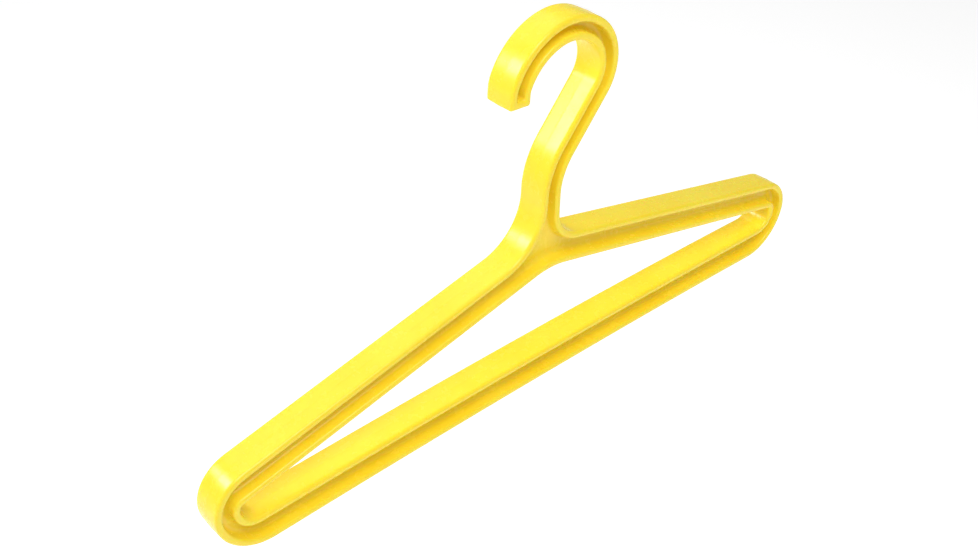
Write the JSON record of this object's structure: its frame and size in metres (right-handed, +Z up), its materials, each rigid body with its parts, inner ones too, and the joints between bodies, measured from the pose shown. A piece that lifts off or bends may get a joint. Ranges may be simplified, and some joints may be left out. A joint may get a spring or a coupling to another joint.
{
  "type": "clothes hanger",
  "caption": "One-piece moulded plastic clothes hanger with an I-beam section, sloping shoulders, a closed trouser bar and a fixed hook.",
  "frame": {"origin": "the point of the hook's inside edge that rests on a rail: the highest point of the bowl, at mid-thickness", "axes": "+X along the trouser bar, towards the shoulder on the side that the hook leans to; +Z up, from the bar to the hook; +Y through the thickness, to the back rim"},
  "size_m": [0.3507, 0.0152, 0.1816],
  "materials": {
    "yellow_plastic": "satin-gloss moulded polypropylene, coloured through"
  },
  "bodies": {
    "root": {"hanger_moulding": "yellow_plastic"}
  },
  "joints": []
}
